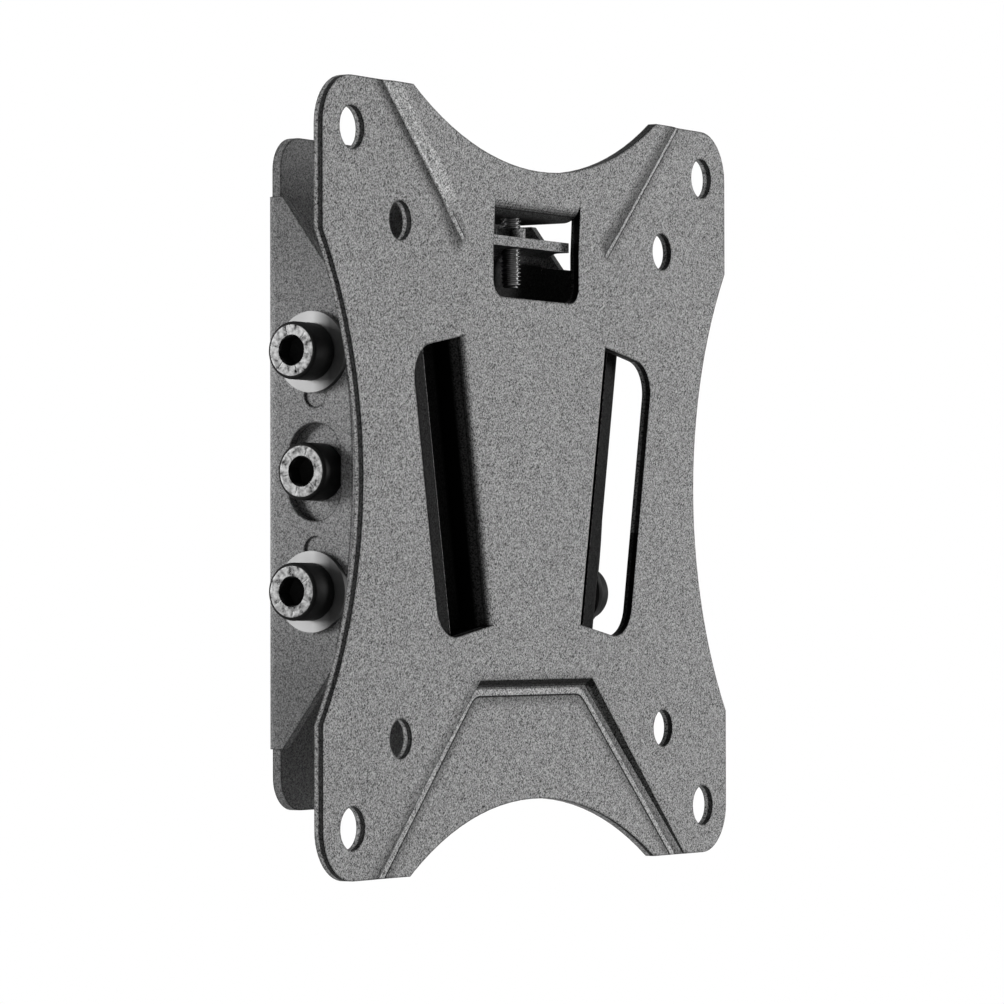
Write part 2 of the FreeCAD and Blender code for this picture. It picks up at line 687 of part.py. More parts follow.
def slot_spot(along, across):
    """Point of the right-hand slot: along the slot from its middle, and across from its inner edge."""
    run = "(%s + %s)" % (FOLD_ALONG, along)
    reach = "(%s + %s)" % (SLOT_ACROSS, across)
    return "%s * %s + %s * %s" % (run, LEAN_SIN, reach, LEAN_COS), \
        plate_z("%s * %s - %s * %s" % (run, LEAN_COS, reach, LEAN_SIN))


slot_bar = prism("slot_bar", FACE, [slot_spot("-slot_half_long", "0"), slot_spot("-slot_half_long", "slot_wide"),
                                    slot_spot("slot_half_long", "slot_wide"), slot_spot("slot_half_long", "0")],
                 "-(%s) + sheet_thick" % PLATE_FRONT, PLATE_FRONT + " + 4 * sheet_thick")
slot_spots = []
for along in ("-slot_half_long", "slot_half_long"):
    spot_x, spot_z = slot_spot(along, "slot_wide")
    slot_spots.append(FreeCAD.Vector(val(spot_x), 0, val(spot_z)))
right_slot = soften("right_slot", slot_bar, "slot_corner", Y_AXIS, slot_spots)
openings += [right_slot, mirror("left_slot", right_slot)]
punched_sheet = cut("punched_sheet", pressed_sheet, *openings)

# Hooks: the metal of each slot folded back, then outwards behind the rail's lip
LEG_FRONT = "-wall_distance + rail_lip_face + sheet_thick + hook_play"
hook_reach = rail_edge + " - sheet_thick - hook_side_play"
right_hook = slanted("right_hook", fold([(SLOT_ACROSS + " - 3 * sheet_thick", PLATE_FRONT),
                                         (FOLD_ACROSS, PLATE_FRONT), (FOLD_ACROSS, LEG_FRONT),
                                         (hook_reach, LEG_FRONT)]),
                     FOLD_ALONG + " + slot_half_long", FOLD_ALONG + " - slot_half_long")
TAB_ROOT = PLATE_FRONT + " - brow_high * (" + window_top + " - brow_low) / brow_low_ramp"
lock_tab_sketch = draw(new_sketch("lock_tab_outline", SIDE),
                       fold([(TAB_ROOT, plate_z(window_top + " + sheet_thick / 2")),
                             (TAB_ROOT, plate_z("lock_tab_under")),
                             (PLATE_FRONT + " + lock_tab_back", plate_z("lock_tab_under"))],
                            "bend_inside", "lock_tab_nose"))
lock_tab = pad("lock_tab", lock_tab_sketch, (1, 0, 0), "window_half", "window_half")
lock_hole = cylinder("lock_hole", "lock_dia + 2 * washer_play", "4 * sheet_thick", ALONG_Z, "0", LOCK_Y,
                     plate_z("lock_tab_under - sheet_thick"))
folded_plate = fuse("folded_plate", punched_sheet, right_hook, mirror("left_hook", right_hook), lock_tab)
keep(cut("front_plate_solid", folded_plate, lock_hole), "front_plate")

# Locking screw: its head rests on the front plate's tab and its thread runs through the collar below
LOCK_SEAT = plate_z("lock_tab_under + sheet_thick")
lock_head = cylinder("lock_head", "lock_head_dia", "lock_head_high", ALONG_Z, "0", LOCK_Y, LOCK_SEAT)
lock_shank = cylinder("lock_shank", "lock_dia", "lock_long", ALONG_Z, "0", LOCK_Y, LOCK_SEAT + " - lock_long")
lock_socket = hexagon("lock_socket_hex", "lock_socket", "lock_head_high / 2", ALONG_Z, "0", LOCK_Y,
                      LOCK_SEAT + " + lock_head_high / 2")
keep(cut("lock_screw_solid", fuse("lock_blank", lock_head, lock_shank), lock_socket), "lock_screw")

doc.recompute()
faults = [thing.Name for thing in doc.Objects if "Invalid" in thing.State or "Error" in thing.State]
for thing in parts:
    if thing.Shape.isNull() or not thing.Shape.isValid():
        faults.append(thing.Label)
if faults:
    raise RuntimeError("These objects did not build: " + ", ".join(faults))

os.makedirs("parts", exist_ok=True)
for thing in parts:
    thing.Shape.exportStep("parts/%s.step" % thing.Label)
    print(thing.Label, len(thing.Shape.Solids), round(thing.Shape.Volume, 2))
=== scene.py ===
"""Dressed model of a small folded steel wall bracket: coats, turned screws and nuts, and its studio."""

import json
import logging
import math
from dataclasses import dataclass
from enum import Enum

import bmesh
import bpy
import numpy as np
from mathutils import Matrix, Vector

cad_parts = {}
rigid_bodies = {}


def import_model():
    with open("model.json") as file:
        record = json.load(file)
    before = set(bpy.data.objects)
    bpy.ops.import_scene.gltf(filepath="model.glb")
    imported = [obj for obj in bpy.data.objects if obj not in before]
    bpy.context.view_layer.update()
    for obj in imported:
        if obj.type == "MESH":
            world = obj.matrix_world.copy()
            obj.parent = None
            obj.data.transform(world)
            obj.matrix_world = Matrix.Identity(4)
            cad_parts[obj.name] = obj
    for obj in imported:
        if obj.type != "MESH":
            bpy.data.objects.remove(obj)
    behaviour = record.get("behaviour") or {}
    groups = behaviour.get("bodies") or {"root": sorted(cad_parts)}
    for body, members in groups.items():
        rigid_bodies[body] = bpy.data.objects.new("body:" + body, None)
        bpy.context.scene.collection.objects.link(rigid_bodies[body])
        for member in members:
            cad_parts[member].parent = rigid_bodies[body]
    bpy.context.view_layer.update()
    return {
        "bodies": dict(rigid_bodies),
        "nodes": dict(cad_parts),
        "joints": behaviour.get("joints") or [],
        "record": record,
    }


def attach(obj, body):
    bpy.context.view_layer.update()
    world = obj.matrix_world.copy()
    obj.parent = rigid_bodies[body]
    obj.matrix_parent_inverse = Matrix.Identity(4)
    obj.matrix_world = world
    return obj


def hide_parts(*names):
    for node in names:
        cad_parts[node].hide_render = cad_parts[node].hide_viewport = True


LOG = logging.getLogger("wall_bracket")
MM = 0.001
ROOT_HALF = math.sqrt(0.5)

# Place of the front plate's face centre in the bracket's frame, in millimetres
PLATE_FRONT_Y = -25.3
PLATE_DROP_Z = -1.4

# Radius of the small ring that is closed at each end of a screw, in millimetres
POLE = 0.02

# Points nearer than this are one, in metres
SAME_POINT = 1e-7

# Places of the colours among a Mix node's sockets
MIX_FIRST, MIX_SECOND, MIX_RESULT = 6, 7, 2

WHITE = (1.0, 1.0, 1.0, 1.0)

Socket = bpy.types.NodeSocket
Sockets = dict[str, Socket]
Point = tuple[float, float, float]
Stops = tuple[tuple[float, float], ...]


class Axis(Enum):
    """Direction in which a turned piece points."""

    LEFT = (-1.0, 0.0, 0.0)
    RIGHT = (1.0, 0.0, 0.0)
    UP = (0.0, 0.0, 1.0)


class Along(Enum):
    """Axis of the bracket's frame along which a tone fades."""

    DEPTH = 1
    HEIGHT = 2


class Kind(Enum):
    """Type of a node group's socket."""

    NUMBER = "NodeSocketFloat"
    COLOUR = "NodeSocketColor"
    VECTOR = "NodeSocketVector"


class Nodes:
    """A node tree with short calls for adding and joining nodes."""

    def __init__(self, tree: bpy.types.NodeTree) -> None:
        """Keep the tree that the nodes go into."""
        self.tree = tree

    def add(self, kind: str, **settings: object) -> bpy.types.Node:
        """Add a node.

        Args:
            kind: the node's type name.
            settings: attributes to set on it.

        Returns:
            The new node.
        """
        node = self.tree.nodes.new(kind)
        for name, value in settings.items():
            setattr(node, name, value)
        return node

    def join(self, source: Socket, target: Socket) -> None:
        """Link one socket to another."""
        self.tree.links.new(source, target)

    def feed(self, value: object, target: Socket) -> None:
        """Give a socket a linked value or a plain one.

        Args:
            value: a socket, number, colour or vector.
            target: the socket that takes it.
        """
        if isinstance(value, Socket):
            self.join(value, target)
        else:
            target.default_value = value

    def maths(self, operation: str, first: object, second: object = 0.0, third: object = 0.0,
              clamp: bool = False) -> Socket:
        """Work out a number from up to three others.

        Args:
            operation: the name of the sum.
            first: a socket or number.
            second: a socket or number.
            third: a socket or number.
            clamp: keep the result between 0 and 1.

        Returns:
            The result's socket.
        """
        node = self.add("ShaderNodeMath", operation=operation, use_clamp=clamp)
        for socket, value in zip(node.inputs, (first, second, third)):
            self.feed(value, socket)
        return node.outputs[0]

    def plus(self, first: object, second: object) -> Socket:
        """Sum of two numbers."""
        return self.maths("ADD", first, second)

    def minus(self, first: object, second: object) -> Socket:
        """First number less the second."""
        return self.maths("SUBTRACT", first, second)

    def times(self, first: object, second: object) -> Socket:
        """Product of two numbers."""
        return self.maths("MULTIPLY", first, second)

    def split(self, vector: Socket) -> tuple[Socket, Socket, Socket]:
        """Take a vector apart.

        Args:
            vector: the vector's socket.

        Returns:
            The sockets of its x, y and z.
        """
        node = self.add("ShaderNodeSeparateXYZ")
        self.join(vector, node.inputs[0])
        return node.outputs[0], node.outputs[1], node.outputs[2]

    def scale(self, vector: object, factor: Socket) -> Socket:
        """Multiply a vector or colour by a number.

        Args:
            vector: a socket, or three numbers.
            factor: the number's socket.

        Returns:
            The result's socket.
        """
        node = self.add("ShaderNodeVectorMath", operation="SCALE")
        self.feed(vector, node.inputs[0])
        self.join(factor, node.inputs["Scale"])
        return node.outputs[0]

    def mix(self, factor: object, first: object, second: object) -> Socket:
        """Blend two colours.

        Args:
            factor: share of the second colour.
            first: a colour socket or value.
            second: a colour socket or value.

        Returns:
            The blended colour's socket.
        """
        node = self.add("ShaderNodeMix", data_type="RGBA")
        self.feed(factor, node.inputs["Factor"])
        self.feed(first, node.inputs[MIX_FIRST])
        self.feed(second, node.inputs[MIX_SECOND])
        return node.outputs[MIX_RESULT]

    def noise(self, place: Socket, cells: object, detail: float = 2.0, rough: float = 0.5) -> Socket:
        """Soft random values between 0 and 1.

        Args:
            place: the coordinates' socket.
            cells: cells to the metre.
            detail: number of finer layers.
            rough: strength of the finer layers.

        Returns:
            The value's socket.
        """
        node = self.add("ShaderNodeTexNoise")
        self.join(place, node.inputs["Vector"])
        self.feed(cells, node.inputs["Scale"])
        node.inputs["Detail"].default_value = detail
        node.inputs["Roughness"].default_value = rough
        return node.outputs["Fac"]

    def ramp(self, value: Socket, low: float, high: float, start: float = 0.0, end: float = 1.0) -> Socket:
        """Stretch a value's range from low..high to start..end, held inside it.

        Args:
            value: the socket to stretch.
            low: value that gives start.
            high: value that gives end.
            start: result at low.
            end: result at high.

        Returns:
            The result's socket.
        """
        node = self.add("ShaderNodeMapRange", clamp=True)
        self.join(value, node.inputs["Value"])
        for name, number in (("From Min", low), ("From Max", high), ("To Min", start), ("To Max", end)):
            node.inputs[name].default_value = number
        return node.outputs["Result"]

    def chain(self, distance: Socket, reach: float, stops: Stops) -> Socket:
        """Read a value off a chain of straight runs over a signed distance.

        Args:
            distance: signed distance in metres.
            reach: distance in millimetres at which the chain starts and ends, either side.
            stops: distance in millimetres and value, from the lowest distance up.

        Returns:
            The value's socket.
        """
        place = self.ramp(distance, -reach * MM, reach * MM)
        node = self.add("ShaderNodeValToRGB")
        self.join(place, node.inputs[0])
        elements = node.color_ramp.elements
        spots = [((where / reach + 1.0) / 2, (value, value, value, 1.0)) for where, value in stops]
        elements[0].position, elements[0].color = spots[0]
        elements[1].position, elements[1].color = spots[-1]
        for spot, shade in spots[1:-1]:
            elements.new(spot).color = shade
        return node.outputs[0]

    def bump(self, height: Socket, normal: Socket, strength: float, high: float) -> Socket:
        """Tilt a normal by a height map.

        Args:
            height: the map, between 0 and 1.
            normal: the normal to tilt.
            strength: share of the effect.
            high: what a height of 1 stands for, in millimetres.

        Returns:
            The tilted normal's socket.
        """
        node = self.add("ShaderNodeBump")
        node.inputs["Strength"].default_value = strength
        node.inputs["Distance"].default_value = high * MM
        self.join(height, node.inputs["Height"])
        self.join(normal, node.inputs["Normal"])
        return node.outputs["Normal"]

    def effect(self, tree: bpy.types.NodeTree, **values: object) -> Sockets:
        """Place a shared node group.

        Args:
            tree: the group.
            values: the name of each input and a socket or value for it.

        Returns:
            The group's outputs by name.
        """
        node = self.add("ShaderNodeGroup", node_tree=tree)
        for name, value in values.items():
            self.feed(value, node.inputs[name])
        return {socket.name: socket for socket in node.outputs}


def new_group(name: str, inputs: dict[str, Kind], outputs: dict[str, Kind]) -> tuple[Nodes, Sockets, Sockets]:
    """Start a shader node group with named sockets.

    Args:
        name: the group's name.
        inputs: socket name to its type.
        outputs: socket name to its type.

    Returns:
        The group's nodes, its inputs and its outputs by name.
    """
    tree = bpy.data.node_groups.new(name, "ShaderNodeTree")
    for way, sockets in (("INPUT", inputs), ("OUTPUT", outputs)):
        for label, kind in sockets.items():
            tree.interface.new_socket(label, in_out=way, socket_type=kind.value)
    nodes = Nodes(tree)
    enter = nodes.add("NodeGroupInput")
    leave = nodes.add("NodeGroupOutput")
    return nodes, {s.name: s for s in enter.outputs}, {s.name: s for s in leave.inputs}


def new_material(name: str) -> tuple[bpy.types.Material, Nodes, bpy.types.Node]:
    """Start a material.

    Args:
        name: the material's name.

    Returns:
        The material, its nodes and its shader.
    """
    material = bpy.data.materials.new(name)
    material.use_nodes = True
    return material, Nodes(material.node_tree), material.node_tree.nodes["Principled BSDF"]


@dataclass(frozen=True)
class PowderGrain:
    """Fine sand-like texture of a powder coat: bumps, pale and dark specks and slow patches.

    The coordinates are turned first, so that no face of the bracket lies along the noise's cells. A speck
    is fine noise and a share of broad noise, stretched between the darkest and the palest value.
    """

    turn: Point = (0.63, 0.41, 0.29)
    fine_rough: float = 0.6
    broad_cells: float = 0.4
    broad_share: float = 0.2
    darkest: float = 0.36
    palest: float = 0.64
    patch_cells: float = 24.0
    patch_low: float = 0.3
    patch_high: float = 0.7
    patch_swing: float = 0.03
    rough_swing: float = -0.16

    def group(self) -> bpy.types.NodeTree:
        """Build the grain, whose level is round 1.

        Returns:
            The node group.
        """
        nodes, have, give = new_group(
            "Powder grain",
            {"Vector": Kind.VECTOR, "Fleck": Kind.NUMBER, "Cells": Kind.NUMBER, "Rough": Kind.NUMBER},
            {"Level": Kind.NUMBER, "Roughness": Kind.NUMBER, "Height": Kind.NUMBER})
        turned = nodes.add("ShaderNodeVectorRotate", rotation_type="EULER_XYZ")
        nodes.join(have["Vector"], turned.inputs["Vector"])
        turned.inputs["Rotation"].default_value = self.turn
        place = turned.outputs[0]
        fine = nodes.noise(place, have["Cells"], rough=self.fine_rough)
        broad = nodes.noise(place, nodes.times(have["Cells"], self.broad_cells))
        patch = nodes.noise(place, self.patch_cells)
        grain = nodes.plus(nodes.times(fine, 1.0 - self.broad_share), nodes.times(broad, self.broad_share))
        centred = nodes.minus(nodes.ramp(grain, self.darkest, self.palest), 0.5)
        specks = nodes.maths("MULTIPLY_ADD", centred, have["Fleck"], 1.0)
        slow = nodes.ramp(patch, self.patch_low, self.patch_high, 1.0 - self.patch_swing,
                          1.0 + self.patch_swing)
        nodes.join(nodes.times(specks, slow), give["Level"])
        nodes.join(nodes.maths("MULTIPLY_ADD", centred, self.rough_swing, have["Rough"]), give["Roughness"])
        nodes.join(grain, give["Height"])
        return nodes.tree


@dataclass(frozen=True)
class MetalSkin:
    """Cloudy tone, small dull spots and a fine grain on plated or blackened steel."""

    cloud_detail: float = 3.0
    cloud_rough: float = 0.6
    cloud_low: float = 0.3
    cloud_high: float = 0.7
    fine_cells: float = 3000.0
    rough_swing: float = 0.18
    least_rough: float = 0.08

    def group(self) -> bpy.types.NodeTree:
        """Build the skin.

        Returns:
            The node group.
        """
        nodes, have, give = new_group(
            "Metal skin",
            {"Vector": Kind.VECTOR, "Colour": Kind.COLOUR, "Cloud": Kind.NUMBER, "Cells": Kind.NUMBER,
             "Rough": Kind.NUMBER},
            {"Colour": Kind.COLOUR, "Roughness": Kind.NUMBER, "Height": Kind.NUMBER})
        cloud = nodes.noise(have["Vector"], have["Cells"], self.cloud_detail, self.cloud_rough)
        fine = nodes.noise(have["Vector"], self.fine_cells)
        centred = nodes.minus(nodes.ramp(cloud, self.cloud_low, self.cloud_high), 0.5)
        level = nodes.maths("MULTIPLY_ADD", centred, have["Cloud"], 1.0)
        nodes.join(nodes.scale(have["Colour"], level), give["Colour"])
        rough = nodes.maths("MULTIPLY_ADD", centred, self.rough_swing, have["Rough"])
        nodes.join(nodes.maths("MAXIMUM", rough, self.least_rough), give["Roughness"])
        nodes.join(fine, give["Height"])
        return nodes.tree


@dataclass(frozen=True)
class EdgeBand:
    """Mask of a band along edges, from a bevelled normal against the true one. The coats paint a dark line of
    shade along their edges with it, and the metals make their rubbed edges paler.

    The mask starts where the cosine of the angle between the two falls below start, and is full at full.
    """

    samples: int = 4
    start: float = 0.99
    full: float = 0.93

    def group(self) -> bpy.types.NodeTree:
        """Build the mask and the bevelled normal.

        Returns:
            The node group.
        """
        nodes, have, give = new_group("Edge band", {"Radius": Kind.NUMBER},
                                      {"Mask": Kind.NUMBER, "Normal": Kind.VECTOR})
        bevel = nodes.add("ShaderNodeBevel", samples=self.samples)
        nodes.join(have["Radius"], bevel.inputs["Radius"])
        true = nodes.add("ShaderNodeNewGeometry")
        cosine = nodes.add("ShaderNodeVectorMath", operation="DOT_PRODUCT")
        nodes.join(bevel.outputs[0], cosine.inputs[0])
        nodes.join(true.outputs["Normal"], cosine.inputs[1])
        nodes.join(nodes.ramp(cosine.outputs["Value"], self.start, self.full), give["Mask"])
        nodes.join(bevel.outputs[0], give["Normal"])
        return nodes.tree


@dataclass(frozen=True)
class PressLines:
    """Where the front plate's press left its lines, in millimetres from the plate's centre.

    A field with three straight sides is sunk into the lower half, and two creases run up and out from
    either side of the window. Each tone and ridge is a chain of places and values over the distance from
    its line, and the bead's and the slope's tone are two looks of a crease. The ridges are a real relief.
    The tones are painted light and shade: a painted highlight on the lit side of each bead, painted dark
    lines and strips for the shade at its foot and beside it, and on the left crease's upper part a painted
    lit ramp beside a painted shaded one.
    """

    field_half: float = 15.6
    field_top: float = -30.4
    field_line: float = -0.8
    field_shift: float = -0.9
    corner: float = 1.6
    crease_start: float = 15.3
    crease_low: float = 39.96
    crease_fade: float = 0.9
    slope_from: float = 4.0
    slope_full: float = 8.0
    reach: float = 4.0
    # light is the tone of a painted highlight along each line, and line the tone of a painted dark line of
    # shade at its foot.
    light: float = 1.25
    line: float = 0.08
    field_painted_light: Stops = ((-2.4, 1.0), (-0.78, 0.5), (-0.66, line), (-0.5, line), (-0.42, light),
                         (0.42, light), (0.5, 0.42), (1.4, 0.58), (3.4, 1.0))
    bead_painted_light: Stops = ((-2.0, 1.0), (-0.6, 0.7), (-0.5, line), (-0.38, line), (-0.3, light),
                        (0.3, light), (0.38, 0.3), (1.8, 0.45), (3.6, 1.0))
    slope_painted_light: Stops = ((-3.2, 1.0), (-2.2, 1.5), (-0.1, 1.65), (0.15, 0.3), (0.6, 0.3), (2.4, 1.0))
    field_ridge: Stops = ((-0.6, 0.0), (-0.35, 1.0), (0.35, 1.0), (1.4, 0.0))
    crease_ridge: Stops = ((-0.5, 0.0), (-0.25, 1.0), (0.25, 1.0), (1.2, 0.0))

    def field_distance(self, nodes: Nodes, x: Socket, high: Socket) -> Socket:
        """Signed distance from the field's line, outwards.

        The field's edge is the greater of z - top and (|x - shift| - half + z - top) / sqrt 2, rounded
        where they meet, and its line lies a little inside.

        Args:
            nodes: where the nodes go.
            x: place across the bracket.
            high: height over the plate's centre.

        Returns:
            The distance's socket, in metres.
        """
        above = nodes.minus(high, self.field_top * MM)
        aside = nodes.maths("ABSOLUTE", nodes.minus(x, self.field_shift * MM))
        beside = nodes.times(nodes.plus(above, nodes.minus(aside, self.field_half * MM)), ROOT_HALF)
        edge = nodes.maths("SMOOTH_MAX", above, beside, self.corner * MM)
        return nodes.minus(edge, self.field_line * MM)

    def crease_places(self, nodes: Nodes, x: Socket, high: Socket) -> tuple[Socket, Socket, Socket, Socket]:
        """Signed distance from the nearer crease's line, and where along it.

        Across a crease the distance is (|x| + start - z) / sqrt 2, turned round on the right so that both
        creases look alike from the left. Along it is (|x| + z) / sqrt 2. Short of its lower end the
        distance is sqrt(across^2 + short^2), so the end is round.

        Args:
            nodes: where the nodes go.
            x: place across the bracket.
            high: height over the plate's centre.

        Returns:
            The sockets of the distance, of the place along the crease, of the length short of its lower
            end, all in metres, and of the side, which is 1 on the left and -1 on the right.
        """
        wide = nodes.maths("ABSOLUTE", x)
        across = nodes.times(nodes.minus(nodes.plus(wide, self.crease_start * MM), high), ROOT_HALF)
        along = nodes.times(nodes.plus(wide, high), ROOT_HALF)
        short = nodes.maths("MAXIMUM", nodes.minus(self.crease_low * MM, along), 0.0)
        side = nodes.times(nodes.maths("SIGN", x), -1.0)
        turned = nodes.times(across, side)
        far = nodes.maths("SQRT", nodes.plus(nodes.times(turned, turned), nodes.times(short, short)))
        off = nodes.minus(far, nodes.maths("ABSOLUTE", turned))
        distance = nodes.plus(turned, nodes.times(off, nodes.maths("SIGN", turned)))
        return distance, along, short, side

    def group(self) -> bpy.types.NodeTree:
        """Build the painted light and shade and the relief of the lines, with the left crease's upper part
        painted as a lit slope.

        Returns:
            The node group.
        """
        nodes, have, give = new_group("Press lines", {"Vector": Kind.VECTOR},
                                      {"Painted light and shade": Kind.NUMBER, "Relief": Kind.NUMBER})
        x, _, z = nodes.split(have["Vector"])
        high = nodes.minus(z, PLATE_DROP_Z * MM)
        field = self.field_distance(nodes, x, high)
        crease, along, short, side = self.crease_places(nodes, x, high)
        present = nodes.ramp(short, 0.0, self.crease_fade * MM, 1.0, 0.0)
        bead = nodes.chain(crease, self.reach, self.bead_painted_light)
        slope = nodes.chain(crease, self.reach, self.slope_painted_light)
        left = nodes.maths("GREATER_THAN", side, 0.0)
        upper = nodes.ramp(along, (self.crease_low + self.slope_from) * MM,
                           (self.crease_low + self.slope_full) * MM)
        crease_painted_light = nodes.mix(nodes.times(left, upper), bead, slope)
        faint = nodes.plus(nodes.times(nodes.minus(crease_painted_light, 1.0), present), 1.0)
        field_painted_light = nodes.chain(field, self.reach, self.field_painted_light)
        nodes.join(nodes.times(field_painted_light, faint), give["Painted light and shade"])
        field_ridge = nodes.chain(field, self.reach, self.field_ridge)
        crease_ridge = nodes.chain(crease, self.reach, self.crease_ridge)
        nodes.join(nodes.plus(field_ridge, nodes.times(crease_ridge, present)), give["Relief"])
        return nodes.tree


@dataclass(frozen=True)
class PaintedShade:
    """Where shade is painted on the coat behind the front plate, in its openings and along its corners, in
    millimetres.

    behind is the depth under the face at which the folded parts start, and line the depth of the painted
    dark corner line on cut edges. The box of wide, low and high holds the openings' cut walls, and the
    folded parts end between folds_fade and folds_top. A face counts as a cut wall as its normal's share
    along the depth falls from flat to upright. hidden, walls, rims and corner are tones of painted shade:
    hidden on the folded parts behind the plate, walls on the openings' cut walls, and corner and rims on
    every cut wall, corner as a dark line in its front part and rims behind it.
    """

    face: float = PLATE_FRONT_Y
    behind: float = 1.7
    behind_fade: float = 0.6
    line: float = 0.7
    line_fade: float = 0.25
    wide: float = 30.0
    low: float = -32.0
    high: float = 41.5
    folds_fade: float = 32.5
    folds_top: float = 34.0
    flat: float = 0.95
    upright: float = 0.6
    # Tones of the painted shade, where 1 leaves the coat as it is.
    hidden: float = 0.03
    walls: float = 0.15
    rims: float = 0.75
    corner: float = 0.08

    def group(self) -> bpy.types.NodeTree:
        """Build the painted shade: a tone less than 1 on cut walls, rims and corners and behind the plate,
        and 1 elsewhere.

        Returns:
            The node group.
        """
        nodes, have, give = new_group("Painted shade", {"Vector": Kind.VECTOR}, {"Painted light and shade": Kind.NUMBER})
        x, y, z = nodes.split(have["Vector"])
        facing = nodes.split(nodes.add("ShaderNodeNewGeometry").outputs["True Normal"])[1]
        depth = nodes.minus(y, self.face * MM)
        across = nodes.ramp(nodes.maths("ABSOLUTE", facing), self.flat, self.upright)
        inside = nodes.maths("LESS_THAN", nodes.maths("ABSOLUTE", x), self.wide * MM)
        over = nodes.maths("GREATER_THAN", z, self.low * MM)
        under = nodes.maths("LESS_THAN", z, self.high * MM)
        wall = nodes.times(nodes.times(across, inside), nodes.times(over, under))
        wall_tone = nodes.ramp(wall, 0.0, 1.0, 1.0, self.walls)
        shaded = nodes.ramp(depth, self.line * MM, (self.line + self.line_fade) * MM, self.corner, self.rims)
        rim_tone = nodes.maths("MULTIPLY_ADD", across, nodes.minus(shaded, 1.0), 1.0)
        open_tone = nodes.times(wall_tone, rim_tone)
        deep = nodes.ramp(depth, self.behind * MM, (self.behind + self.behind_fade) * MM)
        folds = nodes.times(deep, nodes.ramp(z, self.folds_fade * MM, self.folds_top * MM, 1.0, 0.0))
        nodes.join(nodes.times(open_tone, nodes.ramp(folds, 0.0, 1.0, 1.0, self.hidden)), give["Painted light and shade"])
        return nodes.tree


class Groups:
    """The node groups that the finishes share, each built once."""

    def __init__(self) -> None:
        """Build every group."""
        self.press = PressLines().group()
        self.painted_shade = PaintedShade().group()
        self.powder = PowderGrain().group()
        self.metal = MetalSkin().group()
        self.edge_band = EdgeBand().group()


@dataclass(frozen=True)
class Fade:
    """A tone that goes from 1 at start to its own value at end, in millimetres of the bracket's frame."""

    along: Along
    start: float
    end: float
    tone: float

    def factor(self, nodes: Nodes, place: Socket) -> Socket:
        """Build the tone.

        Args:
            nodes: where the nodes go.
            place: the coordinates' socket.

        Returns:
            The tone's socket.
        """
        spot = nodes.split(place)[self.along.value]
        return nodes.ramp(spot, self.start * MM, self.end * MM, 1.0, self.tone)


@dataclass(frozen=True)
class PowderCoat:
    """Textured matt powder coat on sheet steel.

    edge is the softness that the coat gives to cut edges, and grain_high and relief_high are the heights
    of its grain and of the press lines, all in millimetres. fleck is the strength of its specks and cells
    their number to the metre. edge_light is the tone of its edges, which paints a dark line of shade along
    them, and edge_shade_lift the least tone of thin edges in the painted shade behind the plate, which shows
    them as a bright line where they catch the light. fades paint shade that darkens the piece towards its
    ends.
    """

    name: str
    colour: Point
    rough: float = 0.52
    fleck: float = 1.8
    cells: float = 4200.0
    gloss: float = 0.015
    bump: float = 0.6
    grain_high: float = 0.08
    relief: float = 0.6
    relief_high: float = 0.25
    edge: float = 0.4
    edge_light: float = 0.12
    edge_shade_lift: float = 0.0
    fades: tuple[Fade, ...] = ()
    pressed: bool = False
    paints_shade: bool = False

    def build(self, groups: Groups) -> bpy.types.Material:
        """Make the material.

        Args:
            groups: the shared node groups.

        Returns:
            The new material.
        """
        material, nodes, shader = new_material(self.name)
        place = nodes.add("ShaderNodeTexCoord").outputs["Object"]
        grain = nodes.effect(groups.powder, Vector=place, Fleck=self.fleck, Cells=self.cells,
                             Rough=self.rough)
        edge_band = nodes.effect(groups.edge_band, Radius=self.edge * MM)
        # Painted shade: the edge band darkens the coat along its edges to edge_light, as a dark line.
        level = nodes.times(grain["Level"], nodes.ramp(edge_band["Mask"], 0.0, 1.0, 1.0, self.edge_light))
        normal = edge_band["Normal"]
        # Painted shade: each fade darkens the piece towards an end.
        for fade in self.fades:
            level = nodes.times(level, fade.factor(nodes, place))
        # Painted light and shade of the press lines; their relief is a real bump.
        if self.pressed:
            lines = nodes.effect(groups.press, Vector=place)
            level = nodes.times(level, lines["Painted light and shade"])
            normal = nodes.bump(lines["Relief"], normal, self.relief, self.relief_high)
        # Painted shade behind the front plate and in its openings, lifted on thin edges to edge_shade_lift so
        # that they show as a bright line.
        if self.paints_shade:
            painted_shade = nodes.effect(groups.painted_shade, Vector=place)
            bare = nodes.times(edge_band["Mask"], self.edge_shade_lift)
            level = nodes.times(level, nodes.maths("MAXIMUM", painted_shade["Painted light and shade"], bare))
        nodes.join(nodes.scale(self.colour, level), shader.inputs["Base Color"])
        nodes.join(grain["Roughness"], shader.inputs["Roughness"])
        shader.inputs["Specular IOR Level"].default_value = self.gloss
        nodes.join(nodes.bump(grain["Height"], normal, self.bump, self.grain_high), shader.inputs["Normal"])
        return material


